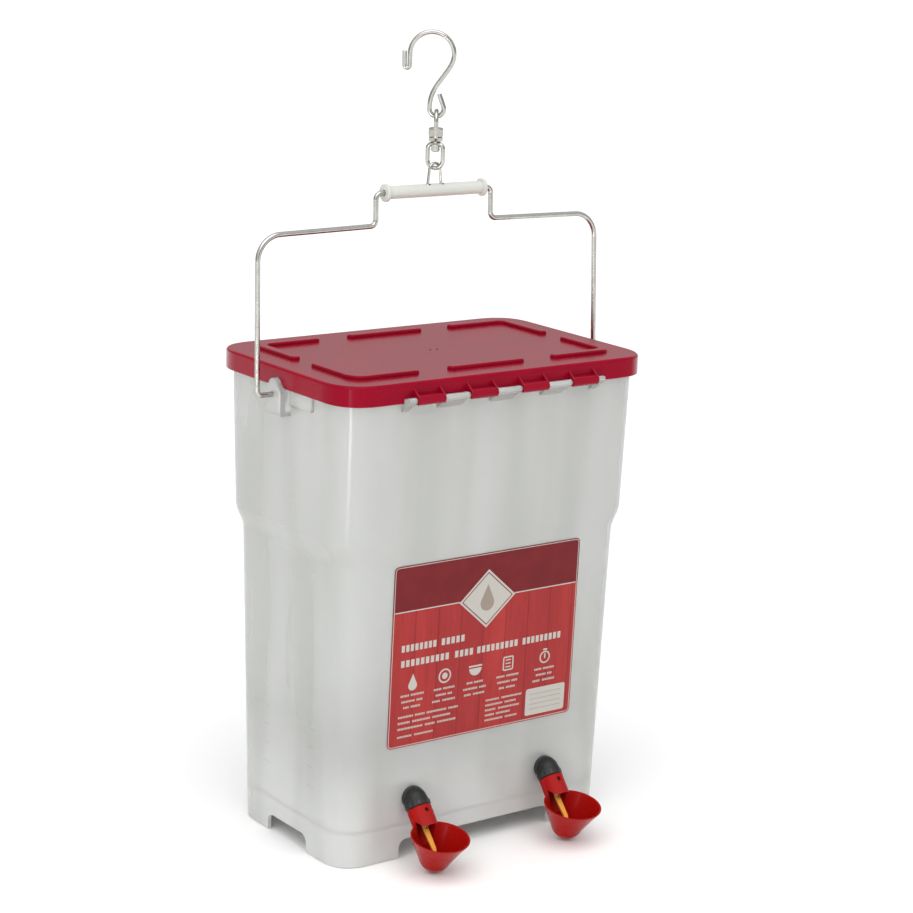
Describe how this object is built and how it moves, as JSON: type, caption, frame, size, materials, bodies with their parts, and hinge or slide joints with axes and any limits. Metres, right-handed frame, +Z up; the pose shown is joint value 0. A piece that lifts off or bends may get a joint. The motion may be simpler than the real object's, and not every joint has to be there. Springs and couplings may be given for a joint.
{
  "type": "poultry waterer fount",
  "caption": "Hanging poultry drinker: tapered translucent lidded tank on corner feet, wire bail with grip, swivel and hook, and auto-fill drinking cups with trigger valves.",
  "frame": {"origin": "on the resting surface, under the middle of the whole object's bounding box", "axes": "+Z up, +X along the long side, the drinking cups, label and lid hinge face -Y"},
  "size_m": [0.3288, 0.2388, 0.6377],
  "materials": {
    "tank_plastic": "translucent satin",
    "red_plastic": "gloss",
    "label_film": "printed film, satin",
    "bright_steel": "bright drawn wire",
    "white_plastic": "satin",
    "black_plastic": "satin",
    "seal_rubber": "matt",
    "seat_rubber": "matt",
    "yellow_plastic": "gloss"
  },
  "bodies": {
    "fount": {"tank": "tank_plastic", "label": "label_film", "valve_body_left": "black_plastic", "outer_seal_left": "seal_rubber", "inner_washer_left": "seal_rubber", "lock_nut_left": "black_plastic", "valve_seat_left": "seat_rubber", "valve_spring_left": "bright_steel", "valve_body_right": "black_plastic", "outer_seal_right": "seal_rubber", "inner_washer_right": "seal_rubber", "lock_nut_right": "black_plastic", "valve_seat_right": "seat_rubber", "valve_spring_right": "bright_steel"},
    "lid": {"lid": "red_plastic"},
    "bail": {"bail": "bright_steel"},
    "grip": {"grip": "white_plastic", "hanger": "bright_steel"},
    "yoke": {"swivel_yoke": "bright_steel"},
    "eye": {"swivel_eye": "bright_steel"},
    "hook": {"hook": "bright_steel"},
    "trigger_left": {"valve_pin_left": "bright_steel", "trigger_left": "yellow_plastic"},
    "trigger_right": {"valve_pin_right": "bright_steel", "trigger_right": "yellow_plastic"},
    "cup_left": {"cup_left": "red_plastic"},
    "cup_right": {"cup_right": "red_plastic"}
  },
  "joints": [
    {"name": "lid_hinge", "type": "hinge", "parent": "fount", "child": "lid", "pos_m": [0, -0.07667, 0.3745], "axis": [1, 0, 0], "range_deg": [0, 38]},
    {"name": "bail_hinge", "type": "hinge", "parent": "fount", "child": "bail", "pos_m": [0, 0.02363, 0.3666], "axis": [1, 0, 0], "range_deg": [-125, 125]},
    {"name": "grip_turn", "type": "hinge", "parent": "bail", "child": "grip", "pos_m": [0, 0.02955, 0.51388], "axis": [-1, 0, 0], "range_deg": [-110, 110]},
    {"name": "yoke_swing", "type": "hinge", "parent": "grip", "child": "yoke", "pos_m": [0, 0.02955, 0.52988], "axis": [0, 1, 0], "range_deg": [-25, 25]},
    {"name": "swivel_spin", "type": "hinge", "parent": "yoke", "child": "eye", "pos_m": [0, 0.02955, 0.55488], "axis": [0, 0, 1], "continuous": true},
    {"name": "hook_swing", "type": "hinge", "parent": "eye", "child": "hook", "pos_m": [0, 0.02955, 0.57528], "axis": [0.5878, 0.809, 0], "range_deg": [-35, 35]},
    {"name": "trigger_tilt_left", "type": "hinge", "parent": "fount", "child": "trigger_left", "pos_m": [-0.065, -0.0692, 0.04179], "axis": [1, 0, 0], "range_deg": [-8, 8], "stiffness_Nm_per_rad": 0.02},
    {"name": "cup_twist_left", "type": "hinge", "parent": "fount", "child": "cup_left", "pos_m": [-0.065, -0.06123, 0.05129], "axis": [0, -0.6428, -0.766], "range_deg": [0, 35]},
    {"name": "trigger_tilt_right", "type": "hinge", "parent": "fount", "child": "trigger_right", "pos_m": [0.065, -0.0692, 0.04179], "axis": [1, 0, 0], "range_deg": [-8, 8], "stiffness_Nm_per_rad": 0.02},
    {"name": "cup_twist_right", "type": "hinge", "parent": "fount", "child": "cup_right", "pos_m": [0.065, -0.06123, 0.05129], "axis": [0, -0.6428, -0.766], "range_deg": [0, 35]}
  ]
}
